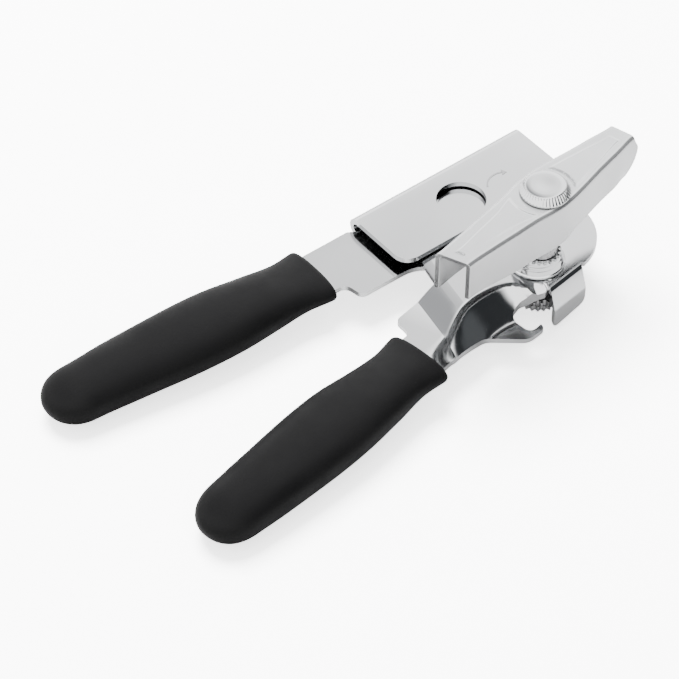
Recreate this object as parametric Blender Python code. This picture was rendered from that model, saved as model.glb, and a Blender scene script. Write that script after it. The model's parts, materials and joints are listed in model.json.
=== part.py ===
"""A plier-type manual can opener, lying on a table with its crank up.

Two pressed-steel handles turn about one eccentric bushing. The lower handle carries the crank,
its shaft, the drive gear and the feed wheel. The upper handle is folded over into a guide for
the lower one, and it carries the cutter gear and the cutting wheel. Closing the handles brings
the two gears together and the cutting wheel over the feed wheel.

Sizes are in millimetres and become metres when a mesh is made. Each handle is drawn in its own
frame: X runs along the plate towards the head, Z along the crank's shaft, and Z = 0 is the
middle of the steel where it enters the rubber grips. The lower frame's origin is the crank's
shaft, the upper frame's origin is the bushing that the handles turn about.
"""

import math

import bmesh
import bpy
from mathutils import Matrix, Vector

MM = 0.001
GAP = 0.3                      # clearance between pieces that touch
SHEET = 1.8                    # steel thickness of both handles
SLIDE = 0.75                   # clearance above and below the lower plate inside the fold

HANDLE_SPREAD = 8.0            # degrees between the two plates as the opener lies
CLOSING = 15.0                 # degrees from there until the handles are closed
LIE_PITCH = 2.66               # degrees that the head stands up, because it is deeper than the grips

PIVOT = Vector((2.1, 3.3, 0))  # centre of the eccentric bushing in the lower frame
GEAR_TEETH = 24
CENTRE_DISTANCE = 17.6         # from the crank's shaft to the cutter when the handles are closed
CUTTER_BEARING = 90.0          # direction from shaft to cutter when closed, degrees in the lower frame

PLATEAU = SHEET + SLIDE        # height of the lower plate's middle at the head
COVER_MIDDLE = 2 * PLATEAU     # height of the upper handle's folded-over cover
LOWER_MOUTH, UPPER_MOUTH = -52.8, -57.8  # where the grips begin, in each handle's frame

# Heights along the shaft, from the crank down
CRANK_TOP = 37.6
CRANK_SHEET = 1.4
SPACER_BOTTOM = 12.7
BUSHING_TOP = 11.0
BUSHING_BOTTOM = -2.1
GEAR_TOP = -3.0
GEAR_BOTTOM = -5.2
FEED_TOP = -5.5
FEED_BOTTOM = -7.6
BLADE_TOP = -8.0
BLADE_BOTTOM = -10.2
PANEL_BOTTOM = -11.7

SHAFT_RADIUS = 2.5
JOURNAL_RADIUS = 7.2


# ---------------------------------------------------------------- shapes

def arc(centre, radius, start, end, steps):
    """Points on an arc, angles in degrees, both ends included."""
    angles = [math.radians(start + (end - start) * i / steps) for i in range(steps + 1)]
    return [(centre[0] + radius * math.cos(a), centre[1] + radius * math.sin(a)) for a in angles]


def bend_angles(start, end, steps):
    return [math.radians(start + (end - start) * i / steps) for i in range(steps + 1)]


def circle(centre, radius, steps):
    return arc(centre, radius, 0, 360, steps)[:-1]


def rounded(corners, steps=4):
    """An outline whose corners (x, y, radius) are filleted with arcs."""
    points = []
    for i, (x, y, radius) in enumerate(corners):
        here = Vector((x, y))
        before = Vector(corners[i - 1][:2]) - here
        after = Vector(corners[(i + 1) % len(corners)][:2]) - here
        if radius == 0:
            points.append((x, y))
            continue
        half = before.angle(after) / 2
        reach = min(radius / math.tan(half), 0.49 * before.length, 0.49 * after.length)
        radius = reach * math.tan(half)
        middle = here + (before.normalized() + after.normalized()).normalized() * radius / math.sin(half)
        first = here + before.normalized() * reach - middle
        turn = first.angle_signed(here + after.normalized() * reach - middle)
        for step in range(steps + 1):
            spoke = Matrix.Rotation(-turn * step / steps, 2) @ first
            points.append(tuple(middle + spoke))
    return points


def smooth_through(knots, x):
    """A smooth curve through knots (x, y), read at x; flat beyond its ends."""
    if x <= knots[0][0]:
        return knots[0][1]
    if x >= knots[-1][0]:
        return knots[-1][1]
    i = max(k for k in range(len(knots) - 1) if knots[k][0] <= x)

    def slope(k):
        if k in (0, len(knots) - 1):
            return 0.0
        return (knots[k + 1][1] - knots[k - 1][1]) / (knots[k + 1][0] - knots[k - 1][0])

    (x0, y0), (x1, y1) = knots[i], knots[i + 1]
    width = x1 - x0
    t = (x - x0) / width
    return ((2 * t**3 - 3 * t**2 + 1) * y0 + (t**3 - 2 * t**2 + t) * width * slope(i)
            + (3 * t**2 - 2 * t**3) * y1 + (t**3 - t**2) * width * slope(i + 1))


def s_curve(t):
    t = min(max(t, 0.0), 1.0)
    return t * t * (3 - 2 * t)


def flat_face(mesh, outline, holes, z):
    """One flat face with holes, filled with triangles."""
    edges = []
    for loop in [outline, *holes]:
        verts = [mesh.verts.new((x, y, z)) for x, y in loop]
        edges += [mesh.edges.new((verts[i - 1], verts[i])) for i in range(len(verts))]
    bmesh.ops.triangle_fill(mesh, use_beauty=True, use_dissolve=False, edges=edges)


def prism(outline, low, high, holes=()):
    """A plate of any outline, with holes, between two heights."""
    mesh = bmesh.new()
    flat_face(mesh, outline, holes, low)
    raised = bmesh.ops.extrude_face_region(mesh, geom=mesh.faces[:])["geom"]
    corners = [item for item in raised if isinstance(item, bmesh.types.BMVert)]
    bmesh.ops.translate(mesh, vec=(0, 0, high - low), verts=corners)
    return mesh


def turned(profile, steps=32, closed=False):
    """A solid of revolution about Z. The profile is (radius, z) from the axis round to the axis,
    or a closed ring section."""
    mesh = bmesh.new()
    verts = [mesh.verts.new((radius, 0, z)) for radius, z in profile]
    count = len(verts) if closed else len(verts) - 1
    edges = [mesh.edges.new((verts[i], verts[(i + 1) % len(verts)])) for i in range(count)]
    bmesh.ops.spin(mesh, geom=verts + edges, cent=(0, 0, 0), axis=(0, 0, 1), angle=2 * math.pi,
                   steps=steps, use_merge=True)
    bmesh.ops.remove_doubles(mesh, verts=mesh.verts, dist=1e-4)
    return mesh


def ring(inner, outer, low, high, steps=32):
    return turned([(inner, low), (outer, low), (outer, high), (inner, high)], steps, closed=True)


def lofted(sections):
    """A closed skin over sections that each hold the same number of points, capped at both ends."""
    mesh = bmesh.new()
    rows = [[mesh.verts.new(point) for point in section] for section in sections]
    for low, high in zip(rows, rows[1:]):
        for i in range(len(low)):
            mesh.faces.new((low[i - 1], low[i], high[i], high[i - 1]))
    mesh.faces.new(rows[0])
    mesh.faces.new(rows[-1])
    return mesh


def gear_outline(teeth, root, tip, root_share=0.30, tip_share=0.12):
    """Straight-sided teeth, the first one pointing along X."""
    points = []
    pitch = 2 * math.pi / teeth
    for tooth in range(teeth):
        for radius, share in ((root, -root_share), (tip, -tip_share), (tip, tip_share), (root, root_share)):
            angle = (tooth + share) * pitch
            points.append((radius * math.cos(angle), radius * math.sin(angle)))
    return points


# ---------------------------------------------------------------- objects

def clear_scene():
    for thing in list(bpy.data.objects):
        bpy.data.objects.remove(thing, do_unlink=True)


def new_material(name, colour, metallic, roughness):
    material = bpy.data.materials.new(name)
    material.use_nodes = True
    shader = material.node_tree.nodes["Principled BSDF"]
    shader.inputs["Base Color"].default_value = (*colour, 1)
    shader.inputs["Metallic"].default_value = metallic
    shader.inputs["Roughness"].default_value = roughness
    return material


def new_object(name, mesh, parent, material=None, sharp=35):
    """Finishes a mesh drawn in millimetres and hangs it on its parent."""
    bmesh.ops.recalc_face_normals(mesh, faces=mesh.faces)
    bmesh.ops.scale(mesh, vec=(MM, MM, MM), verts=mesh.verts)
    data = bpy.data.meshes.new(name)
    mesh.to_mesh(data)
    mesh.free()
    data.shade_smooth()
    data.set_sharp_from_angle(angle=math.radians(sharp))
    thing = bpy.data.objects.new(name, data)
    bpy.context.scene.collection.objects.link(thing)
    thing.parent = parent
    if material:
        data.materials.append(material)
    return thing


def new_empty(name, parent, place=(0, 0, 0), turn=0.0):
    empty = bpy.data.objects.new(name, None)
    bpy.context.scene.collection.objects.link(empty)
    empty.parent = parent
    empty.location = Vector(place) * MM
    empty.rotation_euler = (0, 0, math.radians(turn))
    return empty


def combine(target, tool, operation):
    """Cuts, joins or crops the target with a tool object, which stays hidden."""
    tool.hide_render = True
    tool.display_type = "WIRE"
    modifier = target.modifiers.new(tool.name, "BOOLEAN")
    modifier.operation = operation
    modifier.solver = "EXACT"
    modifier.object = tool


# ---------------------------------------------------------------- lower handle

CREASE_POINT = Vector((-35.8, 19.5))                     # where the ramp up to the head starts
CREASE_NORMAL = Vector((0.949, -0.316))
RAMP_LENGTH = 12.0

# The dished slope along the handle: where the flat top starts to turn down, where the slope
# ends in the flat lip, and how far down it goes. All three are given by distance along the handle.
SHOULDER = [(-60.8, 4.4), (-43.8, 4.4), (-35.8, 6.4), (-27.8, 7.9), (-18.8, 6.9), (-11.8, 3.4),
            (-7.8, -2.2), (-4.3, -7.2), (-0.8, -8.8)]
FOOT = [(-60.8, -14.7), (-43.8, -13.7), (-36.8, -9.7), (-30.8, -6.2), (-24.8, -5.3), (-17.8, -5.9),
        (-11.8, -7.2), (-7.8, -9.7), (-4.3, -12.7), (-0.8, -14.7)]
SLOPE_DROP = [(-58, 0), (-52.8, 1.6), (-43.8, 7.0), (-36.8, 8.2), (4, 8.2)]
SLOPE_STEPS = 12

# The flange turned down at the front of the head
PANEL_LEFT, PANEL_RIGHT, PANEL_EDGE = -3.8, 11.3, -7.25
PANEL_LEAN = -110                                        # heading in which it runs down from its fold
PANEL_SLANT = 1.4                                        # how much higher its lower edge is on the right
PANEL_OVERLAP = 1.5                                      # how far it runs into the plateau it is joined to


def lower_height(x, y):
    """Height of the middle of the lower handle's steel above a point of its plan."""
    along = CREASE_NORMAL.dot(Vector((x, y)) - CREASE_POINT)
    climb = min(max(along / RAMP_LENGTH, 0), 1)
    top = PLATEAU * (1 - (1 - climb) ** 2)
    shoulder = smooth_through(SHOULDER, x)
    foot = smooth_through(FOOT, x)
    return top - smooth_through(SLOPE_DROP, x) * s_curve((shoulder - y) / (shoulder - foot))


def lower_outline(margin=0.0):
    """Plan of the lower handle's steel; the margin grows the tongue inside the grip."""
    return rounded([
        (-136 - margin, 7.5 + margin, 5), (-136 - margin, -5.0 - margin, 5), (-52.8, -5.4 - margin, 30),
        (-45.8, -3.9, 20), (-28.6, -3.3, 6), (-19.3, -13.3, 5), (-12.3, -13.4, 1.5), (-11.6, -11.4, 0.3),
        (-16.8, -11.6, 3), (-16.6, -2.7, 2.6), (-12.0, -2.5, 3), (-8.2, -4.6, 5), (-5.0, -7.1, 1.2),
        (PANEL_LEFT, PANEL_EDGE, 0), (PANEL_RIGHT, PANEL_EDGE, 0),
        *[(x, y, 0) for x, y in arc((11.4, 11.0), 19.4, -87, -8, 10)],
        (32.2, 20, 8), (27.5, 36, 8), (19.5, 44.8, 8), (-17.4, 44.8, 8), (-27.2, 19.9, 1.0),
        (-46.6, 19.1, 2.0), (-47.9, 12.1 + margin, 2.4), (-58, 11.9 + margin, 3),
    ])


def lower_sheet(name, parent, thickness):
    """The lower handle's pressed steel before its outline is cut. The grid's lines across the handle
    run along the crease, so that the ramp starts on one of them."""
    skew = -CREASE_NORMAL.y / CREASE_NORMAL.x
    crease = CREASE_POINT.x - skew * CREASE_POINT.y
    before = [-134, -104] + [crease - 1.5 * (11 - i) for i in range(11)]
    after = [crease + 1.5 * i for i in range(1, 31)]
    mesh = bmesh.new()
    grid = []
    for station in [*before, crease - 0.3, crease, *after, 9, 20, 38]:
        shoulder = smooth_through(SHOULDER, station)
        foot = smooth_through(FOOT, station)
        slope = [foot + (shoulder - foot) * i / SLOPE_STEPS for i in range(SLOPE_STEPS + 1)]
        line = [(station + skew * y, y) for y in (-17, *slope, shoulder + 4, 17, 22, 32, 47)]
        grid.append([mesh.verts.new((x, y, lower_height(x, y))) for x, y in line])
    for left, right in zip(grid, grid[1:]):
        for i in range(len(left) - 1):
            mesh.faces.new((left[i], right[i], right[i + 1], left[i + 1]))
    mesh.normal_update()
    shifts = {vert: vert.normal * thickness / 2 for vert in mesh.verts}
    twin = bmesh.ops.duplicate(mesh, geom=mesh.faces[:])["vert_map"]
    for vert, shift in shifts.items():
        twin[vert].co -= shift
        vert.co += shift
    border = [edge for column in (grid[0], grid[-1]) for edge in zip(column, column[1:])]
    border += [edge for row in (0, -1) for edge in zip([c[row] for c in grid], [c[row] for c in grid[1:]])]
    for a, b in border:
        mesh.faces.new((a, b, twin[b], twin[a]))
    return new_object(name, mesh, parent)


def flange_side(offset):
    """One face of the flange's bends as (distance out, height): a tight fold, a slope, a soft bend."""
    fold, lean, reach, soft = 2.1, 63, 5.3, 2.4
    steep = math.radians(lean)
    points = [((fold - offset) * math.sin(a), (fold - offset) * math.cos(a) - fold)
              for a in bend_angles(0, lean, 8)]
    out = fold * math.sin(steep) + reach / math.tan(steep) - soft * math.sin(steep)
    down = fold * (math.cos(steep) - 1) - reach - soft * math.cos(steep)
    points += [(out + (soft - offset) * math.sin(a), down + (soft - offset) * math.cos(a))
               for a in bend_angles(lean, 90, 3)]
    return [(n, PLATEAU + SHEET / 2 + z) for n, z in points]


def bent_flange(path, heading, bottom):
    """A flange that turns down from the plateau's edge and leans out along a heading."""
    outside, inside = flange_side(0), flange_side(SHEET)
    outer, inner = outside[-1][0], inside[-1][0]
    out = Vector((math.cos(math.radians(heading)), math.sin(math.radians(heading))))
    top = PLATEAU + SHEET / 2
    joined = [(-PANEL_OVERLAP, top - SHEET), (-PANEL_OVERLAP, top)]
    sections = []
    for x, y in path:
        low = bottom(x)
        rim = [(outer, low + 0.5), (outer - 0.5, low), (inner + 0.5, low), (inner, low + 0.5)]
        section = joined + outside + rim + inside[::-1]
        sections.append([(x + out.x * n, y + out.y * n, z) for n, z in section])
    return lofted(sections)


def guide_panel():
    """The deep flat flange beside the bottle opener's claw, with round lower corners."""
    corner = 2.2

    def bottom(x):
        edge = PANEL_BOTTOM + PANEL_SLANT * (x - PANEL_LEFT) / (PANEL_RIGHT - PANEL_LEFT)
        near = min(x - PANEL_LEFT, PANEL_RIGHT - x)
        return edge + (0 if near > corner else corner - math.sqrt(corner**2 - (corner - near) ** 2))

    near_corner = [0.0, 0.35, 1.1, corner]
    stops = [PANEL_LEFT + n for n in near_corner] + [PANEL_RIGHT - n for n in reversed(near_corner)]
    return bent_flange([(x, PANEL_EDGE) for x in stops], PANEL_LEAN, bottom)


def build_lower_frame(parent, steel):
    frame = lower_sheet("lower_handle_frame", parent, SHEET)
    frame.data.materials.append(steel)
    outline = new_object("lower_outline", prism(lower_outline(), -9, 9), parent)
    combine(frame, outline, "INTERSECT")
    combine(frame, new_object("panel_blank", guide_panel(), parent), "UNION")
    bore = new_object("lower_bore", prism(circle(PIVOT, JOURNAL_RADIUS + GAP, 32), 0, 6), parent)
    combine(frame, bore, "DIFFERENCE")
    return frame


# ---------------------------------------------------------------- upper handle

FOLD_LINE = 50.8                                         # outermost line of the fold
COVER_LEFT, COVER_RIGHT, COVER_NEAR = -35.5, 33.9, 22.7
COVER_HOLE = (-2.4, 34.4)
COVER_HOLE_RADIUS = 8.2


def cutter_place():
    """The cutter's axis in the upper frame, from where it meets the drive gear when closed."""
    bearing = math.radians(CUTTER_BEARING)
    closed = Vector((math.cos(bearing), math.sin(bearing), 0)) * CENTRE_DISTANCE - PIVOT
    return Matrix.Rotation(math.radians(HANDLE_SPREAD - CLOSING), 3, "Z") @ closed


def upper_plate_outline(margin=0.0):
    """Plan of the upper handle's bottom plate, up to where the fold starts."""
    fold_start = FOLD_LINE - PLATEAU - SHEET / 2
    return rounded([
        (-146 - margin, 50.6 + margin, 5), (-146 - margin, 40.6 - margin, 5), (-58, 31.2 - margin, 3),
        (-52.9, 31.0 - margin, 3.0), (-51.8, 24.2, 2.6), (-31, 23.9, 12), (-18.5, 14.5, 10),
        *[(x, y, 0) for x, y in arc((0, 0), 9.6, 190, 366, 16)],
        (11.5, 20.5, 5), (22, 23.6, 3), (COVER_RIGHT, 23.6, 2), (COVER_RIGHT, fold_start, 0),
        (COVER_LEFT + 1, fold_start, 0), (COVER_LEFT - 2.5, 49.4, 1.5), (-58, 49.4 + margin, 3),
    ])


def build_upper_frame(parent, steel):
    """Plate, fold and cover, with the fold as a half-ring section run along X."""
    half = SHEET / 2
    fold_start = FOLD_LINE - PLATEAU - half
    cutter = cutter_place()
    holes = [circle((0, 0), JOURNAL_RADIUS + GAP, 32), circle(cutter[:2], SHAFT_RADIUS + GAP, 16)]
    plate = prism(upper_plate_outline(), -half, half, holes)
    frame = new_object("upper_handle_frame", plate, parent, steel)

    cover = rounded([(COVER_LEFT, fold_start, 0), (COVER_LEFT, COVER_NEAR, 5.5),
                     (COVER_RIGHT, COVER_NEAR, 3), (COVER_RIGHT, fold_start, 0)], steps=6)
    hole = circle(COVER_HOLE, COVER_HOLE_RADIUS, 36)
    lid = prism(cover, COVER_MIDDLE - half, COVER_MIDDLE + half, [hole])

    outer, inner, overlap = PLATEAU + half, PLATEAU - half, 1.0
    bend = bend_angles(-90, 90, 14)
    section = [(outer * math.cos(a), PLATEAU + outer * math.sin(a)) for a in bend]
    section += [(-overlap, COVER_MIDDLE + half), (-overlap, COVER_MIDDLE - half)]
    section += [(inner * math.cos(a), PLATEAU + inner * math.sin(a)) for a in reversed(bend)]
    section += [(-overlap, half), (-overlap, -half)]
    fold = lofted([[(x, fold_start + n, z) for n, z in section] for x in (COVER_LEFT, COVER_RIGHT)])
    combine(frame, new_object("fold_blank", fold, parent), "UNION")
    combine(frame, new_object("cover_blank", lid, parent), "UNION")
    return frame


# ---------------------------------------------------------------- grips

GRIP_HALF_WIDTH = [(0, 11.9), (10, 10.7), (22, 11.5), (36, 12.8), (50, 12.8), (72, 11.5), (90, 10.4)]
GRIP_HALF_HEIGHT = [(0, 4.3), (10, 5.2), (22, 6.7), (38, 7.5), (72, 7.5), (90, 7.0)]
LOWER_GRIP_LINE = [(0, 3.0), (20, 2.2), (35, 2.2), (52, 1.8), (72, 1.3), (95, 1.1)]
UPPER_GRIP_LINE = [(0, 41.0), (23, 42.0), (38, 43.0), (55, 43.9), (73, 45.0), (91, 45.6), (98, 45.8)]
LOWER_GRIP_LENGTH, UPPER_GRIP_LENGTH = 96.5, 100.7
TIP_LENGTH = 13.0
SECTION_POWER = 2.4


def grip_section(mouth, line, length, stop, around=24):
    """One rounded section of a grip, a distance along it from its mouth."""
    past = max(stop - length + TIP_LENGTH, 0) / TIP_LENGTH
    shrink = (1 - past**2.3) ** 0.5
    width = smooth_through(GRIP_HALF_WIDTH, stop) * shrink
    height = smooth_through(GRIP_HALF_HEIGHT, stop) * shrink
    section = []
    for i in range(around):
        angle = 2 * math.pi * (i + 0.5) / around
        across = math.copysign(abs(math.cos(angle)) ** (2 / SECTION_POWER), math.cos(angle))
        up = math.copysign(abs(math.sin(angle)) ** (2 / SECTION_POWER), math.sin(angle))
        section.append((mouth - stop, smooth_through(line, stop) + across * width, up * height))
    return section


def build_grip(name, parent, mouth, line, length, rubber):
    """A rubber sleeve, open at its mouth and closed at its round tip."""
    stops = [0, 4, 10, 16, 22, 29, 37, 46, 55, 64, 73, 80]
    stops += [length - TIP_LENGTH * left for left in (1.0, 0.7, 0.42, 0.22, 0.09, 0.025, 0.002)]
    sections = [grip_section(mouth, line, length, stop) for stop in stops]
    return new_object(name, lofted(sections), parent, rubber, 50)


def build_lower_grip(parent, rubber):
    grip = build_grip("lower_grip", parent, LOWER_MOUTH, LOWER_GRIP_LINE, LOWER_GRIP_LENGTH, rubber)
    cavity = lower_sheet("lower_cavity", parent, SHEET + 2 * GAP)
    shape = new_object("lower_cavity_outline", prism(lower_outline(GAP), -9, 9), parent)
    combine(cavity, shape, "INTERSECT")
    combine(grip, cavity, "DIFFERENCE")


def build_upper_grip(parent, rubber):
    grip = build_grip("upper_grip", parent, UPPER_MOUTH, UPPER_GRIP_LINE, UPPER_GRIP_LENGTH, rubber)
    reach = SHEET / 2 + GAP
    cavity = new_object("upper_cavity", prism(upper_plate_outline(GAP), -reach, reach), parent)
    combine(grip, cavity, "DIFFERENCE")


# ---------------------------------------------------------------- crank

CRANK_HALF_WIDTH = [(-42, 5.7), (-30, 6.4), (-20, 7.2), (-11, 7.9), (-5, 8.8), (0.5, 9.3), (5, 9.1),
                    (11.5, 8.3), (20, 7.0), (30, 5.85), (40.1, 4.8)]
CRANK_DEPTH = [(-42, 14.9), (-35, 15.0), (-27, 15.9), (-18, 16.6), (1.5, 16.5), (5, 15.1),
               (9, 14.6), (40.1, 14.9)]
CRANK_SKEW = [(-42, -0.29), (-18, 0), (18, 0), (40.1, -0.15)]  # its ends are cut askew
CRANK_MIDDLE = 0.7                                       # the channel's middle line, beside the shaft
CRANK_FOLD = 2.2                                         # outer radius of its two bends


def nose(depth):
    """How far the crank's round far end stands back, at a depth below its top."""
    if depth < 6:
        return 2.0 * (1 - s_curve((depth - 1) / 5))
    return 10 - math.sqrt(100 - min(depth - 6, 9) ** 2)


def crank_section(station):
    """An inverted channel with round upper edges, cut across at a station along the crank."""
    far = CRANK_HALF_WIDTH[-1][0]
    half_width = smooth_through(CRANK_HALF_WIDTH, station)
    depth = smooth_through(CRANK_DEPTH, station)
    skew = smooth_through(CRANK_SKEW, station)
    back = min(max((station - 28) / (far - 28), 0), 1)
    side, inner = half_width - CRANK_SHEET, CRANK_FOLD - CRANK_SHEET
    corner = half_width - CRANK_FOLD
    walls = [depth, depth - 1.5, depth - 4, 8, 5, 3.4]
    right = [(half_width, n) for n in walls]
    right += [(corner + CRANK_FOLD * math.cos(a), CRANK_FOLD * (1 - math.sin(a)))
              for a in bend_angles(0, 90, 4)]
    under = [(corner + inner * math.cos(a), CRANK_FOLD - inner * math.sin(a))
             for a in bend_angles(90, 0, 3)]
    under += [(side, n) for n in reversed(walls)]
    outline = right + [(-y, n) for y, n in reversed(right)] + [(-y, n) for y, n in reversed(under)] + under
    return [(station + skew * y - back * nose(n), y + CRANK_MIDDLE, CRANK_TOP - n) for y, n in outline]


def build_crank_key(parent, steel):
    """The crank: a channel that is widest and deepest over the shaft, with a round far end."""
    stops = [-42, -35, -30, -24, -18, -11, -7, -4, -1.5, 1, 3, 5, 8, 12, 20, 28, 34, 40.1]
    key = new_object("crank_key", lofted([crank_section(x) for x in stops]), parent, steel)
    bore = prism(circle((0, 0), SHAFT_RADIUS + GAP, 20), CRANK_TOP - 4, CRANK_TOP + 2)
    combine(key, new_object("crank_bore", bore, parent), "DIFFERENCE")
    return key


def build_crank_cap(parent, steel):
    """The fluted head that holds the crank on its shaft: a cone of flutes under a low dome."""
    flutes = 44
    base = CRANK_TOP + GAP
    radii = [(8.15, 0.0), (8.15, 0.5), (6.8, 2.2), (6.2, 2.6), (3.6, 2.9)]
    sections = []
    for radius, rise in radii:
        section = []
        for i in range(2 * flutes):
            depth = 0.28 if i % 2 and 0.2 < rise < 2.4 else 0.0
            angle = math.pi * i / flutes
            reach = radius - depth
            section.append((reach * math.cos(angle), reach * math.sin(angle), base + rise))
        sections.append(section)
    return new_object("crank_cap", lofted(sections), parent, steel)


def drive_teeth():
    """Outline of each of the two gears, which mesh when the handles are closed."""
    return gear_outline(GEAR_TEETH, CENTRE_DISTANCE / 2 - 0.85, CENTRE_DISTANCE / 2 + 0.5)


def build_crank_train(parent, steel, gear_steel, gear_turn):
    """Everything that turns with the crank."""
    build_crank_key(parent, steel)
    build_crank_cap(parent, steel)
    shaft = turned([(0, FEED_BOTTOM - 2.6), (SHAFT_RADIUS, FEED_BOTTOM - 2.6), (SHAFT_RADIUS, CRANK_TOP),
                    (0, CRANK_TOP)], 24)
    new_object("drive_shaft", shaft, parent, gear_steel)
    bore = SHAFT_RADIUS + GAP
    spacer = turned([(bore, SPACER_BOTTOM), (5.2, SPACER_BOTTOM), (5.2, CRANK_TOP - CRANK_SHEET - GAP),
                     (bore, CRANK_TOP - CRANK_SHEET - GAP)], 24, closed=True)
    new_object("crank_spacer", spacer, parent, gear_steel)
    serrations = gear_outline(20, 5.7, 6.5, 0.36, 0.2)
    lock = prism(serrations, BUSHING_TOP + GAP, SPACER_BOTTOM - GAP, [circle((0, 0), bore, 24)])
    new_object("serrated_washer", lock, parent, steel)
    thrust = ring(bore, 5.2, GEAR_TOP + 0.2, BUSHING_BOTTOM - 0.2, 24)
    new_object("thrust_washer", thrust, parent, gear_steel)
    gear = prism(drive_teeth(), GEAR_BOTTOM, GEAR_TOP, [circle((0, 0), bore, 20)])
    turn_gear = new_object("drive_gear", gear, parent, gear_steel)
    turn_gear.rotation_euler.z = gear_turn
    feed = prism(gear_outline(26, 7.5, 8.3, 0.42, 0.10), FEED_BOTTOM, FEED_TOP, [circle((0, 0), bore, 20)])
    new_object("feed_wheel", feed, parent, gear_steel)
    nut = prism(circle((0, 0), 4.4, 6), FEED_BOTTOM - 2.4, FEED_BOTTOM - 0.2, [circle((0, 0), bore, 20)])
    new_object("feed_wheel_nut", nut, parent, gear_steel)


# ---------------------------------------------------------------- bushing and cutter

def build_bushing(parent, steel):
    """The eccentric bushing that both handles turn about, and the ring that keeps it in."""
    centre = new_empty("bushing_place", parent, PIVOT)
    seat = PLATEAU + SHEET / 2 + GAP
    profile = [(0, BUSHING_BOTTOM), (JOURNAL_RADIUS, BUSHING_BOTTOM), (JOURNAL_RADIUS, seat), (9.1, seat),
               (9.4, seat + 0.3), (9.4, seat + 0.9), (9.0, seat + 1.4), (8.4, seat + 3.6), (8.1, seat + 3.9),
               (7.5, BUSHING_TOP - 0.6), (7.0, BUSHING_TOP), (0, BUSHING_TOP)]
    bushing = new_object("pivot_bushing", turned(profile, 40), centre, steel)
    bore = prism(circle((0, 0), SHAFT_RADIUS + 0.2, 24), -6, BUSHING_TOP + 4)
    combine(bushing, new_object("bushing_bore", bore, parent), "DIFFERENCE")
    keeper = ring(JOURNAL_RADIUS + 0.1, 8.8, BUSHING_BOTTOM, -SHEET / 2 - GAP)
    new_object("bushing_ring", keeper, centre, steel)


def build_cutter(spindle, wheel, steel, gear_steel, gear_turn):
    """The cutter's pin with its two heads, and what turns on the pin."""
    pin = 1.9
    top = SHEET / 2 + 0.2
    end = -14.2
    heads = turned([(0, end), (1.8, end), (3.0, end + 0.5), (3.5, end + 1.4), (3.5, BLADE_BOTTOM - 0.9),
                    (pin, BLADE_BOTTOM - 0.9), (pin, top), (3.4, top), (3.4, top + 0.3), (0, top + 0.3)], 24)
    new_object("cutter_pin", heads, spindle, gear_steel)
    bore = pin + GAP
    collar = ring(bore, 4.1, GEAR_TOP + 0.2, -SHEET / 2 - GAP, 24)
    new_object("cutter_bearing", collar, spindle, steel)
    gear = prism(drive_teeth(), GEAR_BOTTOM, GEAR_TOP, [circle((0, 0), bore, 20)])
    turn_gear = new_object("cutter_gear", gear, wheel, gear_steel)
    turn_gear.rotation_euler.z = gear_turn
    spacer = ring(bore, 4.6, BLADE_TOP + 0.2, GEAR_BOTTOM - 0.2, 24)
    new_object("cutter_spacer", spacer, wheel, gear_steel)
    blade = turned([(bore, BLADE_BOTTOM), (6.4, BLADE_BOTTOM), (9.2, BLADE_TOP - 0.25), (9.2, BLADE_TOP),
                    (bore, BLADE_TOP)], 40, closed=True)
    new_object("cutter_wheel", blade, wheel, gear_steel)
    washer = ring(bore, 4.3, BLADE_BOTTOM - 0.7, BLADE_BOTTOM - 0.2, 24)
    new_object("cutter_washer", washer, wheel, gear_steel)


# ---------------------------------------------------------------- assembly

def lowest_and_middle(things):
    """The lowest height and the middle of the plan of all the pieces, in metres."""
    graph = bpy.context.evaluated_depsgraph_get()
    points = []
    for thing in things:
        evaluated = thing.evaluated_get(graph)
        points += [evaluated.matrix_world @ vert.co for vert in evaluated.data.vertices]
    spans = [(min(p[i] for p in points), max(p[i] for p in points)) for i in range(3)]
    return Vector((sum(spans[0]) / 2, sum(spans[1]) / 2, spans[2][0]))


def main():
    clear_scene()
    plate_steel = new_material("plated_steel", (0.80, 0.81, 0.82), 1.0, 0.16)
    gear_steel = new_material("gear_steel", (0.55, 0.56, 0.58), 1.0, 0.32)
    rubber = new_material("black_rubber", (0.022, 0.022, 0.024), 0.0, 0.55)

    root = new_empty("opener", None)
    lower = new_empty("lower_handle", root, turn=HANDLE_SPREAD / 2)
    upper = new_empty("upper_handle", lower, PIVOT, -HANDLE_SPREAD)
    crank = new_empty("crank_axis", lower)
    spindle = new_empty("spindle_axis", upper, cutter_place())
    wheel = new_empty("cutter_axis", spindle)

    cutter = PIVOT + Matrix.Rotation(math.radians(-HANDLE_SPREAD), 3, "Z") @ cutter_place()
    bearing = math.atan2(cutter.y, cutter.x)
    half_tooth = math.pi / GEAR_TEETH
    facing = bearing + math.pi + half_tooth + math.radians(HANDLE_SPREAD)

    build_lower_frame(lower, plate_steel)
    build_lower_grip(lower, rubber)
    build_upper_frame(upper, plate_steel)
    build_upper_grip(upper, rubber)
    build_bushing(lower, plate_steel)
    build_crank_train(crank, plate_steel, gear_steel, bearing)
    build_cutter(spindle, wheel, plate_steel, gear_steel, facing)

    root.rotation_euler.y = math.radians(-LIE_PITCH)
    bpy.context.view_layer.update()
    nodes = [thing for thing in bpy.data.objects if thing.type == "MESH" and not thing.hide_render]
    root.location = -lowest_and_middle(nodes)


main()
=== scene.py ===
"""The looks of the can opener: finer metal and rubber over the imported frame, a pale floor, studio light.

Pieces that are drawn here use the lower handle's frame, the upper handle's or the bushing's, in
millimetres. X runs along the handle towards the head and Z along the crank's shaft. The origin is
on the shaft for the lower handle, and on the pivot for the other two.
"""

import json
import math

import bmesh
import bpy
from mathutils import Matrix, Vector


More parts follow.
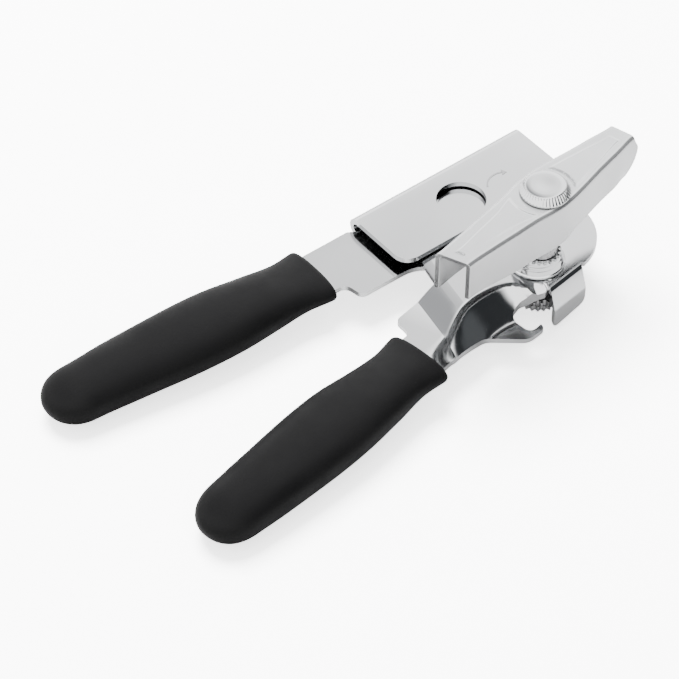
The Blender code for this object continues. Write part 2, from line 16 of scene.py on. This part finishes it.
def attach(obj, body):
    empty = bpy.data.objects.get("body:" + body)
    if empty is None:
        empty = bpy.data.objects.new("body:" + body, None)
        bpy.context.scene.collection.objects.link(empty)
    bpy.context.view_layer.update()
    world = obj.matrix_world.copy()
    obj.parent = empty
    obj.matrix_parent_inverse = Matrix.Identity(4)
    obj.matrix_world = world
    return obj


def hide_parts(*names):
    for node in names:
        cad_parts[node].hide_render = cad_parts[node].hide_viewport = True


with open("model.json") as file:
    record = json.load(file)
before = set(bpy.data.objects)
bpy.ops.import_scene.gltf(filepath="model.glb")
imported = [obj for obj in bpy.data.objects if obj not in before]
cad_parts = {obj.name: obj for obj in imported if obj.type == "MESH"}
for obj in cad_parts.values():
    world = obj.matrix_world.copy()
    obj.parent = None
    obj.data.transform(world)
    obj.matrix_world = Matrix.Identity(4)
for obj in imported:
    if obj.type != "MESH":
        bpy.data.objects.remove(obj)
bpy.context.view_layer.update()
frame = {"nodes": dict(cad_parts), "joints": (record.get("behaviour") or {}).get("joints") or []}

MM = 0.001
HALF_SPREAD = 4.0              # degrees from the line between the handles to each plate


def handle_matrix(joint_name, turn):
    """The frame at a joint: Z along its axis, X turned from the line between the handles."""
    joint = next(j for j in frame["joints"] if j["name"] == joint_name)
    up = Vector(joint["axis"]).normalized()
    across = up.cross(Vector((1, 0, 0))).normalized()
    along = across.cross(up)
    level = Matrix((along, across, up)).transposed().to_4x4()
    return Matrix.Translation(joint["pos_m"]) @ level @ Matrix.Rotation(math.radians(turn), 4, "Z")


LOWER = handle_matrix("crank_turn", HALF_SPREAD)
UPPER = handle_matrix("handle_pivot", -HALF_SPREAD)
BUSHING = handle_matrix("handle_pivot", 0)


# ---------------------------------------------------------------- mesh helpers

def ramp(t):
    """Rises smoothly from 0 to 1 as t does."""
    t = min(max(t, 0.0), 1.0)
    return t * t * (3 - 2 * t)


def between(low, high, share):
    return low + (high - low) * share


def round_about(centre, radius, angle):
    """The point of the plan at a radius and an angle in radians from a centre."""
    return (centre[0] + radius * math.cos(angle), centre[1] + radius * math.sin(angle))


def smooth_through(knots, x):
    """A smooth curve through knots (x, y), read at x; flat beyond its ends."""
    if x <= knots[0][0]:
        return knots[0][1]
    if x >= knots[-1][0]:
        return knots[-1][1]
    i = max(k for k in range(len(knots) - 1) if knots[k][0] <= x)

    def slope(k):
        if k in (0, len(knots) - 1):
            return 0.0
        return (knots[k + 1][1] - knots[k - 1][1]) / (knots[k + 1][0] - knots[k - 1][0])

    (x0, y0), (x1, y1) = knots[i], knots[i + 1]
    width = x1 - x0
    t = (x - x0) / width
    return ((2 * t**3 - 3 * t**2 + 1) * y0 + (t**3 - 2 * t**2 + t) * width * slope(i)
            + (3 * t**2 - 2 * t**3) * y1 + (t**3 - t**2) * width * slope(i + 1))


def lofted(sections):
    """A closed skin over sections with equal numbers of points, capped at both ends."""
    mesh = bmesh.new()
    rows = [[mesh.verts.new(point) for point in section] for section in sections]
    for low, high in zip(rows, rows[1:]):
        for i in range(len(low)):
            mesh.faces.new((low[i - 1], low[i], high[i], high[i - 1]))
    mesh.faces.new(rows[0])
    mesh.faces.new(rows[-1])
    return mesh


def turned(profile, steps):
    """A ring of revolution about Z from a closed (radius, z) section."""
    mesh = bmesh.new()
    verts = [mesh.verts.new((radius, 0, z)) for radius, z in profile]
    edges = [mesh.edges.new((verts[i - 1], verts[i])) for i in range(len(verts))]
    bmesh.ops.spin(mesh, geom=verts + edges, cent=(0, 0, 0), axis=(0, 0, 1), angle=2 * math.pi,
                   steps=steps, use_merge=True)
    bmesh.ops.remove_doubles(mesh, verts=mesh.verts, dist=1e-4)
    return mesh


def new_piece(name, mesh, place, material, body, sharp=35):
    """Turns a mesh in millimetres into an object in the frame's metres that rides on a body."""
    bmesh.ops.recalc_face_normals(mesh, faces=mesh.faces)
    bmesh.ops.transform(mesh, matrix=place @ Matrix.Scale(MM, 4), verts=mesh.verts)
    data = bpy.data.meshes.new(name)
    mesh.to_mesh(data)
    mesh.free()
    data.shade_smooth()
    data.set_sharp_from_angle(angle=math.radians(sharp))
    data.materials.append(material)
    piece = bpy.data.objects.new(name, data)
    bpy.context.scene.collection.objects.link(piece)
    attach(piece, body)
    return piece


def bevelled(piece, width, segments=3, angle=30):
    """Breaks the sharp edges, as pressing and tumbling do."""
    edge = piece.modifiers.new("broken_edges", "BEVEL")
    edge.width = width * MM
    edge.segments = segments
    edge.limit_method = "ANGLE"
    edge.angle_limit = math.radians(angle)
    edge.harden_normals = True


def softened(node, width, material, body, angle=30, sharp=30):
    """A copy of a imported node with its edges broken, which stands for the node."""
    mesh = bmesh.new()
    mesh.from_mesh(frame["nodes"][node].data)
    to_millimetres = Matrix.Scale(1 / MM, 4) @ frame["nodes"][node].matrix_world
    bmesh.ops.transform(mesh, matrix=to_millimetres, verts=mesh.verts)
    bmesh.ops.remove_doubles(mesh, verts=mesh.verts, dist=1e-3)
    bmesh.ops.dissolve_limit(mesh, angle_limit=math.radians(0.6), verts=mesh.verts, edges=mesh.edges)
    piece = new_piece(node + "_finished", mesh, Matrix(), material, body, sharp)
    bevelled(piece, width, angle=angle)
    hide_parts(node)
    return piece


# ---------------------------------------------------------------- materials

class Look:
    """A node material, with small helpers for its textures."""

    def __init__(self, name, colour, metallic, roughness):
        self.material = bpy.data.materials.new(name)
        self.material.use_nodes = True
        self.nodes = self.material.node_tree.nodes
        self.links = self.material.node_tree.links
        self.shader = self.nodes["Principled BSDF"]
        self.shader.inputs["Base Color"].default_value = (*colour, 1)
        self.shader.inputs["Metallic"].default_value = metallic
        self.shader.inputs["Roughness"].default_value = roughness
        self.place = self.nodes.new("ShaderNodeTexCoord").outputs["Object"]

    def noise(self, scale, detail=3.0, stretch=(1, 1, 1)):
        mapping = self.nodes.new("ShaderNodeMapping")
        mapping.inputs["Scale"].default_value = stretch
        self.links.new(self.place, mapping.inputs["Vector"])
        texture = self.nodes.new("ShaderNodeTexNoise")
        texture.inputs["Scale"].default_value = scale
        texture.inputs["Detail"].default_value = detail
        self.links.new(mapping.outputs["Vector"], texture.inputs["Vector"])
        return texture.outputs["Fac"]

    def spread(self, source, low, high, start=0.3, end=0.7):
        """Maps a texture onto a range of values."""
        node = self.nodes.new("ShaderNodeMapRange")
        node.inputs["From Min"].default_value = start
        node.inputs["From Max"].default_value = end
        node.inputs["To Min"].default_value = low
        node.inputs["To Max"].default_value = high
        self.links.new(source, node.inputs["Value"])
        return node.outputs["Result"]

    def tint(self, source, dark, light):
        node = self.nodes.new("ShaderNodeMix")
        node.data_type = "RGBA"
        node.inputs["A"].default_value = (*dark, 1)
        node.inputs["B"].default_value = (*light, 1)
        self.links.new(source, node.inputs["Factor"])
        self.links.new(node.outputs["Result"], self.shader.inputs["Base Color"])

    def bump(self, source, height):
        node = self.nodes.new("ShaderNodeBump")
        node.inputs["Distance"].default_value = height
        node.inputs["Strength"].default_value = 1.0
        self.links.new(source, node.inputs["Height"])
        self.links.new(node.outputs["Normal"], self.shader.inputs["Normal"])


def plated_steel():
    """Bright nickel over pressed sheet: nearly a mirror, with faint smears and a slight waviness."""
    look = Look("bright_plating", (0.47, 0.475, 0.48), 1.0, 0.1)
    smears = look.noise(60, 4, (1, 2.5, 1))
    look.links.new(look.spread(smears, 0.07, 0.15), look.shader.inputs["Roughness"])
    look.tint(look.noise(35, 3), (0.44, 0.445, 0.45), (0.50, 0.505, 0.51))
    look.bump(look.noise(300, 2), 0.000004)
    return look.material


def crank_steel():
    """A duller, cloudier plating over the same sheet, so that the crank's folds stay pale."""
    look = Look("satin_plating", (0.42, 0.425, 0.43), 0.88, 0.25)
    clouds = look.noise(60, 4, (1, 2.5, 1))
    look.links.new(look.spread(clouds, 0.18, 0.28), look.shader.inputs["Roughness"])
    look.tint(look.noise(70, 4), (0.38, 0.385, 0.39), (0.46, 0.465, 0.47))
    return look.material


def gear_steel():
    """Machined steel, duller than the plating and with fine tool marks."""
    look = Look("machined_steel", (0.34, 0.34, 0.345), 1.0, 0.3)
    look.links.new(look.spread(look.noise(900, 3), 0.22, 0.4), look.shader.inputs["Roughness"])
    look.bump(look.noise(1500, 3), 0.00001)
    return look.material


def black_rubber():
    """Matt black moulded rubber with a fine grain and faint handling marks."""
    look = Look("moulded_rubber", (0.002, 0.002, 0.0021), 0.0, 0.5)
    look.shader.inputs["Specular IOR Level"].default_value = 0.06
    look.links.new(look.spread(look.noise(90, 4), 0.42, 0.58), look.shader.inputs["Roughness"])
    look.tint(look.noise(40, 3), (0.0015, 0.0015, 0.0016), (0.0025, 0.0025, 0.0026))
    look.bump(look.noise(2600, 2), 0.00002)
    return look.material


# ---------------------------------------------------------------- lower handle's pressed form

CREASE_POINT = Vector((-35.8, 19.5))                     # where the ramp up to the head starts
CREASE_NORMAL = Vector((0.949, -0.316))
RAMP_LENGTH, PLATEAU = 12.0, 2.55

# The dished slope along the handle: where the flat top starts to turn down, where the slope
# ends in the flat lip, and how far down it goes. All three are given by distance along the handle.
SHOULDER = [(-60.8, 4.4), (-43.8, 4.4), (-35.8, 6.4), (-27.8, 7.9), (-18.8, 6.9), (-11.8, 3.4),
            (-7.8, -2.2), (-4.3, -7.2), (-0.8, -8.8)]
FOOT = [(-60.8, -14.7), (-43.8, -13.7), (-36.8, -9.7), (-30.8, -6.2), (-24.8, -5.3), (-17.8, -5.9),
        (-11.8, -7.2), (-7.8, -9.7), (-4.3, -12.7), (-0.8, -14.7)]
SLOPE_DROP = [(-58, 0), (-52.8, 1.6), (-43.8, 7.0), (-36.8, 8.2), (4, 8.2)]


def pressed_height(x, y):
    """Height of the pressed sheet: tongue, ramp, plateau and the slope down to the claw."""
    along = CREASE_NORMAL.dot(Vector((x, y)) - CREASE_POINT)
    climb = min(max(along / RAMP_LENGTH, 0), 1)
    shoulder, foot = smooth_through(SHOULDER, x), smooth_through(FOOT, x)
    drop = smooth_through(SLOPE_DROP, x) * ramp((shoulder - y) / (shoulder - foot))
    return PLATEAU * (1 - (1 - climb) ** 2) - drop


def pressed_normal(x, y):
    step = 0.05
    rise_x = (pressed_height(x + step, y) - pressed_height(x - step, y)) / (2 * step)
    rise_y = (pressed_height(x, y + step) - pressed_height(x, y - step)) / (2 * step)
    return Vector((-rise_x, -rise_y, 1)).normalized()


def smooth_pressing(piece):
    """Gives the sheet's broad faces the normals of the form it was pressed to, and leaves its rims as
    they are. Each corner is read a little inside its face, so that a crease stays sharp."""
    inset, widest = 0.04, math.radians(14)
    data = piece.data
    to_sheet = LOWER.inverted()
    turn = LOWER.to_3x3()
    normals = [Vector(corner.vector) for corner in data.corner_normals]
    for face in data.polygons:
        middle = to_sheet @ face.center
        for loop in face.loop_indices:
            point = to_sheet @ data.vertices[data.loops[loop].vertex_index].co
            point = point.lerp(middle, inset) / MM
            ideal = turn @ pressed_normal(point.x, point.y)
            if abs(ideal.dot(face.normal)) > math.cos(widest):
                normals[loop] = ideal if ideal.dot(face.normal) > 0 else -ideal
    data.normals_split_custom_set(normals)


# ---------------------------------------------------------------- grips

GRIP_HALF_WIDTH = [(0, 11.9), (10, 10.7), (22, 11.5), (36, 12.8), (50, 12.8), (72, 11.5), (90, 10.4)]
GRIP_HALF_HEIGHT = [(0, 4.3), (10, 5.2), (22, 6.7), (38, 7.5), (72, 7.5), (90, 7.0)]
LOWER_LINE = [(0, 3.0), (20, 2.2), (35, 2.2), (52, 1.8), (72, 1.3), (95, 1.1)]
UPPER_LINE = [(0, 41.0), (23, 42.0), (38, 43.0), (55, 43.9), (73, 45.0), (91, 45.6), (98, 45.8)]
LOWER_MOUTH, UPPER_MOUTH = -52.8, -57.8
LOWER_LENGTH, UPPER_LENGTH = 96.5, 100.7
TIP_LENGTH = 13.0
SECTION_POWER = 2.4            # 2 would make the grips' sections ellipses
MOUTH_ROUNDING = 0.35


def grip_section(mouth, line, length, stop, around):
    """One rounded section, with the mould's parting line as a low ridge along both sides."""
    past = max(stop - length + TIP_LENGTH, 0) / TIP_LENGTH
    shrink = (1 - past**2.3) ** 0.5
    lip = MOUTH_ROUNDING * (1 - ramp(stop / 0.8))
    width = smooth_through(GRIP_HALF_WIDTH, stop) * shrink - lip
    height = smooth_through(GRIP_HALF_HEIGHT, stop) * shrink - lip
    section = []
    for i in range(around):
        angle = 2 * math.pi * i / around
        c, s = math.cos(angle), math.sin(angle)
        above = abs(s) * height
        seam = 0.13 * math.exp(-(above / 0.22) ** 2) - 0.07 * math.exp(-((above - 0.55) / 0.25) ** 2)
        across = math.copysign(abs(c) ** (2 / SECTION_POWER), c) * width
        up = math.copysign(abs(s) ** (2 / SECTION_POWER), s) * height
        across += math.copysign(seam, c) * shrink
        section.append((mouth - stop, smooth_through(line, stop) + across, up))
    return section


def build_grip(name, node, place, mouth, line, length, body, rubber):
    """The rubber sleeve in fine sections, closer together at its mouth and its tip."""
    steps, tip_steps = 60, 26
    straight = length - TIP_LENGTH
    stops = [0, 0.15, 0.4, 0.8] + [between(1.5, straight, i / steps) for i in range(steps)]
    stops += [length - TIP_LENGTH * (1 - i / tip_steps) ** 1.8 for i in range(tip_steps)]
    stops.append(length - 0.01)
    mesh = lofted([grip_section(mouth, line, length, stop, 128) for stop in stops])
    grip = new_piece(name, mesh, place, rubber, body, sharp=60)
    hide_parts(node)


# ---------------------------------------------------------------- crank

CRANK_TOP = 37.6
CRANK_SHEET = 1.4
CRANK_HALF_WIDTH = [(-42, 5.7), (-30, 6.4), (-20, 7.2), (-11, 7.9), (-5, 8.8), (0.5, 9.3), (5, 9.1),
                    (11.5, 8.3), (20, 7.0), (30, 5.85), (40.1, 4.8)]
CRANK_DEPTH = [(-42, 14.9), (-35, 15.0), (-27, 15.9), (-18, 16.6), (1.5, 16.5), (5, 15.1),
               (9, 14.6), (40.1, 14.9)]
CRANK_SKEW = [(-42, -0.29), (-18, 0), (18, 0), (40.1, -0.15)]  # its ends are cut askew
CRANK_MIDDLE = 0.7             # the channel's middle line, beside the shaft
CRANK_FOLD = 1.7               # outer radius of its two bends
CRANK_START, CRANK_END = -42, 40.1
PANEL_HALF_WIDTH = [(-39, 1.85), (-26, 3.1), (-17.5, 4.1), (-10.5, 5.7), (8, 5.9), (21, 4.0),
                    (34.8, 2.05)]
PANEL_START, PANEL_END = -39, 34.8
PANEL_MIDDLE = -0.35           # the stamped panels' middle line, beside the channel's
PANEL_HEIGHT, PANEL_EDGE = 0.2, 0.5


def panel_rise(x, y):
    """Height of the two stamped panels above the crank's top, which leave a ring clear round the cap."""
    edge = smooth_through(PANEL_HALF_WIDTH, x) - abs(y - PANEL_MIDDLE)
    clear = 11.3 if x < 0 else 10.0
    inside = min(edge, x - PANEL_START, PANEL_END - x, math.hypot(x, y) - clear)
    return PANEL_HEIGHT * ramp(inside / PANEL_EDGE)


def nose(depth):
    """How far the crank's round far end stands back, at a depth below its top."""
    if depth < 6:
        return 2.0 * (1 - ramp((depth - 1) / 5))
    return 10 - math.sqrt(100 - min(depth - 6, 9) ** 2)


def crank_section(station):
    """The inverted channel cut across at a station, with fine points over its top."""
    half_width = smooth_through(CRANK_HALF_WIDTH, station)
    depth = smooth_through(CRANK_DEPTH, station)
    skew = smooth_through(CRANK_SKEW, station)
    back = min(max((station - 28) / (CRANK_END - 28), 0), 1)
    side, inner = half_width - CRANK_SHEET, CRANK_FOLD - CRANK_SHEET
    corner = half_width - CRANK_FOLD
    bend_steps, wall_steps, top_steps = 12, 11, 44
    bends = [math.radians(90 * i / bend_steps) for i in range(bend_steps + 1)]
    walls = [between(depth, CRANK_FOLD + 0.6, i / wall_steps) for i in range(wall_steps + 1)]
    right = [(half_width, n) for n in walls]
    right += [(corner + CRANK_FOLD * math.cos(a), CRANK_FOLD * (1 - math.sin(a))) for a in bends]
    top = []
    for i in range(1, top_steps):
        y = between(corner, -corner, i / top_steps)
        top.append((y, -panel_rise(station, y)))
    under = [(corner + inner * math.cos(a), CRANK_FOLD - inner * math.sin(a)) for a in reversed(bends)]
    under += [(side, n) for n in reversed(walls)]
    outline = right + top + [(-y, n) for y, n in reversed(right)]
    outline += [(-y, n) for y, n in reversed(under)] + under
    return [(station + skew * y - back * nose(n), y + CRANK_MIDDLE, CRANK_TOP - n) for y, n in outline]


def build_crank(steel):
    steps = 230
    stops = [between(CRANK_START, CRANK_END, i / steps) for i in range(steps + 1)]
    crank = new_piece("crank_finished", lofted([crank_section(x) for x in stops]), LOWER, steel,
                      "crank", sharp=50)
    bevelled(crank, 0.4, angle=50)
    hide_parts("crank_key")


def build_cap(steel):
    """The cap: a fluted cone under a flat, slightly dished top."""
    flutes, deepest = 44, 0.36
    around = 8 * flutes
    low = CRANK_TOP + 0.3
    # radius, height above the crank, and how deep the flutes are there
    profile = [(7.8, 0.0, 0.0), (8.15, 0.12, 0.0), (8.15, 0.5, 0.0), (8.0, 0.62, 0.6), (6.85, 2.15, 1.0),
               (6.65, 2.4, 0.7), (6.4, 2.6, 0.0), (6.1, 2.74, 0.0), (5.6, 2.84, 0.0), (4.5, 2.88, 0.0),
               (2.5, 2.8, 0.0), (0.6, 2.75, 0.0)]
    sections = []
    for radius, rise, fluting in profile:
        section = []
        for i in range(around):
            angle = 2 * math.pi * i / around
            cut = deepest * fluting * (0.5 - 0.5 * math.cos(flutes * angle)) ** 1.4
            section.append((*round_about((0, 0), radius - cut, angle), low + rise))
        sections.append(section)
    cap = new_piece("cap_finished", lofted(sections), LOWER, steel, "crank", sharp=50)
    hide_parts("crank_cap")


# ---------------------------------------------------------------- bushing and mark

COVER_TOP = 6.0


def build_bushing(steel):
    """The eccentric boss: a rounded foot, a steep ringed wall and a rounded rim, bored for the shaft."""
    bottom, foot, top = -2.1, 3.75, 11.0
    bore, journal, wide, rim = 2.7, 7.2, 9.4, 7.4
    wall = []
    rings, steps = (5, 9), 14
    for i in range(steps + 1):
        groove = 0.1 if i in rings else 0.0
        radius = between(wide - 0.45, rim, i / steps) - groove
        wall.append((radius, between(foot + 1.5, top - 0.9, i / steps)))
    profile = [(bore, bottom), (journal, bottom), (journal, foot), (9.1, foot), (wide, foot + 0.3)]
    profile += [(wide, foot + 0.8), (wide - 0.1, foot + 1.05)]
    profile += [(wide - 0.4, foot + 1.25)] + wall
    profile += [(rim - 0.05, top - 0.45), (rim - 0.2, top - 0.12), (rim - 0.5, top), (bore, top)]
    boss = new_piece("bushing_finished", turned(profile, 96), BUSHING, steel, "lower_handle",
                     sharp=50)
    bevelled(boss, 0.06, angle=50)
    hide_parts("pivot_bushing")


def build_turn_mark(steel):
    """A generic stamped arc with an arrowhead on the cover, showing which way the crank turns."""
    centre, radius, half_line = (13.5, 30.5), 6.2, 0.28
    start, end, steps = math.radians(150), math.radians(62), 18
    arc = []
    for reach, first, last in ((radius + half_line, start, end), (radius - half_line, end, start)):
        arc += [round_about(centre, reach, between(first, last, i / steps)) for i in range(steps + 1)]
    barb, back, point = 1.3, math.radians(64), math.radians(48)
    head = [round_about(centre, radius, point), round_about(centre, radius + barb, back),
            round_about(centre, radius - barb, back)]
    for name, outline in (("turn_mark_arc", arc), ("turn_mark_head", head)):
        mesh = lofted([[(x, y, z) for x, y in outline] for z in (COVER_TOP - 0.2, COVER_TOP + 0.1)])
        new_piece(name, mesh, UPPER, steel, "upper_handle")


# ---------------------------------------------------------------- studio

def toward(heading, height):
    """The direction at a heading and a height in degrees around the opener."""
    a, e = math.radians(heading), math.radians(height)
    return Vector((math.cos(a) * math.cos(e), math.sin(a) * math.cos(e), math.sin(e)))


def key_light():
    """A wide softbox behind the opener, which isn't seen in the metal."""
    light = bpy.data.lights.new("key", "AREA")
    light.shape = "RECTANGLE"
    light.size, light.size_y = 0.9, 0.9
    light.energy = 190
    thing = bpy.data.objects.new("key", light)
    bpy.context.scene.collection.objects.link(thing)
    thing.location = toward(78, 64) * 1.6
    aim = Vector((0, 0, 0.02)) - thing.location
    thing.rotation_euler = aim.to_track_quat("-Z", "Y").to_euler()
    thing.visible_glossy = False


def pale_floor():
    """Paper that is white and faintly glowing to the camera, and grey in the metal's reflections and
    in the light that it throws back."""
    mesh = bpy.data.meshes.new("floor")
    reach = 6.0
    corners = [(-reach, -reach, 0), (reach, -reach, 0), (reach, reach, 0), (-reach, reach, 0)]
    mesh.from_pydata(corners, [], [(0, 1, 2, 3)])
    floor = bpy.data.objects.new("floor", mesh)
    bpy.context.scene.collection.objects.link(floor)
    white, grey, glow = (0.93, 0.93, 0.93), (0.36, 0.36, 0.36), 2.0
    paper = Look("floor_paper", white, 0.0, 0.9)
    paper.shader.inputs["Specular IOR Level"].default_value = 0.0
    seen = paper.nodes.new("ShaderNodeLightPath").outputs["Is Camera Ray"]
    paper.tint(seen, grey, white)
    paper.shader.inputs["Emission Color"].default_value = (1, 1, 1, 1)
    paper.links.new(paper.spread(seen, 0.0, glow, 0, 1), paper.shader.inputs["Emission Strength"])
    mesh.materials.append(paper.material)


def studio_world():
    """A bright white room with a dark skirting, one dark side and a dimmer patch overhead."""
    world = bpy.data.worlds.new("studio")
    world.use_nodes = True
    nodes, links = world.node_tree.nodes, world.node_tree.links
    direction = nodes.new("ShaderNodeTexCoord").outputs["Generated"]

    def smooth_step(value, start, end):
        step = nodes.new("ShaderNodeMapRange")
        step.interpolation_type = "SMOOTHSTEP"
        step.inputs["From Min"].default_value = start
        step.inputs["From Max"].default_value = end
        links.new(value, step.inputs["Value"])
        return step.outputs["Result"]

    def mixed(factor):
        mix = nodes.new("ShaderNodeMix")
        mix.data_type = "RGBA"
        links.new(factor, mix.inputs["Factor"])
        return mix

    def patch(heading, height, start, full, colour, below=None):
        """Paints a soft round patch over what is below it. It starts and is full at these angles
        from its middle."""
        facing = nodes.new("ShaderNodeVectorMath")
        facing.operation = "DOT_PRODUCT"
        links.new(direction, facing.inputs[0])
        facing.inputs[1].default_value = toward(heading, height)
        outer, inner = math.cos(math.radians(start)), math.cos(math.radians(full))
        mix = mixed(smooth_step(facing.outputs["Value"], outer, inner))
        mix.inputs["A"].default_value = (1, 1, 1, 1)
        mix.inputs["B"].default_value = (*colour, 1)
        if below:
            links.new(below, mix.inputs["A"])
        return mix.outputs["Result"]

    overhead = patch(90, 57, 38, 6, (0.2, 0.202, 0.207))
    dark_side = patch(-46, 33, 41, 25, (0.012, 0.013, 0.014), overhead)
    gleam = patch(-28, 26, 20, 2, (0.035, 0.037, 0.039), dark_side)
    height = nodes.new("ShaderNodeSeparateXYZ")
    links.new(direction, height.inputs["Vector"])
    skirting = mixed(smooth_step(height.outputs["Z"], 0.04, 0.14))
    skirting.inputs["A"].default_value = (0.06, 0.06, 0.062, 1)
    links.new(gleam, skirting.inputs["B"])
    background = nodes["Background"]
    links.new(skirting.outputs["Result"], background.inputs["Color"])
    background.inputs["Strength"].default_value = 4.4
    bpy.context.scene.world = world


def camera():
    """A long lens, above and in front of the crank."""
    lens = bpy.data.cameras.new("camera")
    lens.sensor_width = 36
    lens.lens = 167.0
    thing = bpy.data.objects.new("camera", lens)
    bpy.context.scene.collection.objects.link(thing)
    backward = Vector((-0.503165, -0.506267, 0.70037))
    right = Vector((0.736763, -0.674878, 0.041472))
    above = backward.cross(right)
    place = LOWER.translation + Vector((-0.56224, -0.47718, 0.68772))
    turn = Matrix((right, above, backward)).transposed().to_4x4()
    thing.matrix_world = Matrix.Translation(place) @ turn
    bpy.context.scene.camera = thing


camera()
pale_floor()
studio_world()
key_light()

steel = plated_steel()
machined = gear_steel()
rubber = black_rubber()
build_grip("lower_grip_finished", "lower_grip", LOWER, LOWER_MOUTH, LOWER_LINE, LOWER_LENGTH,
           "lower_handle", rubber)
build_grip("upper_grip_finished", "upper_grip", UPPER, UPPER_MOUTH, UPPER_LINE, UPPER_LENGTH,
           "upper_handle", rubber)
build_crank(crank_steel())
build_cap(steel)
build_bushing(steel)
build_turn_mark(machined)
lower_frame = softened("lower_handle_frame", 0.35, steel, "lower_handle",
                       angle=40, sharp=16)
smooth_pressing(lower_frame)
softened("upper_handle_frame", 0.3, steel, "upper_handle", angle=40, sharp=30)
SMALL_PARTS = {
    "lower_handle": {"bushing_ring": steel},
    "crank": {"serrated_washer": steel, "thrust_washer": machined, "drive_gear": machined,
              "feed_wheel": machined, "feed_wheel_nut": machined, "crank_spacer": machined,
              "drive_shaft": machined},
    "cutter_spindle": {"cutter_pin": machined, "cutter_bearing": steel},
    "cutter": {"cutter_gear": machined, "cutter_spacer": machined, "cutter_wheel": machined,
               "cutter_washer": machined},
}
for body, parts in SMALL_PARTS.items():
    for node, material in parts.items():
        softened(node, 0.12, material, body, angle=28)
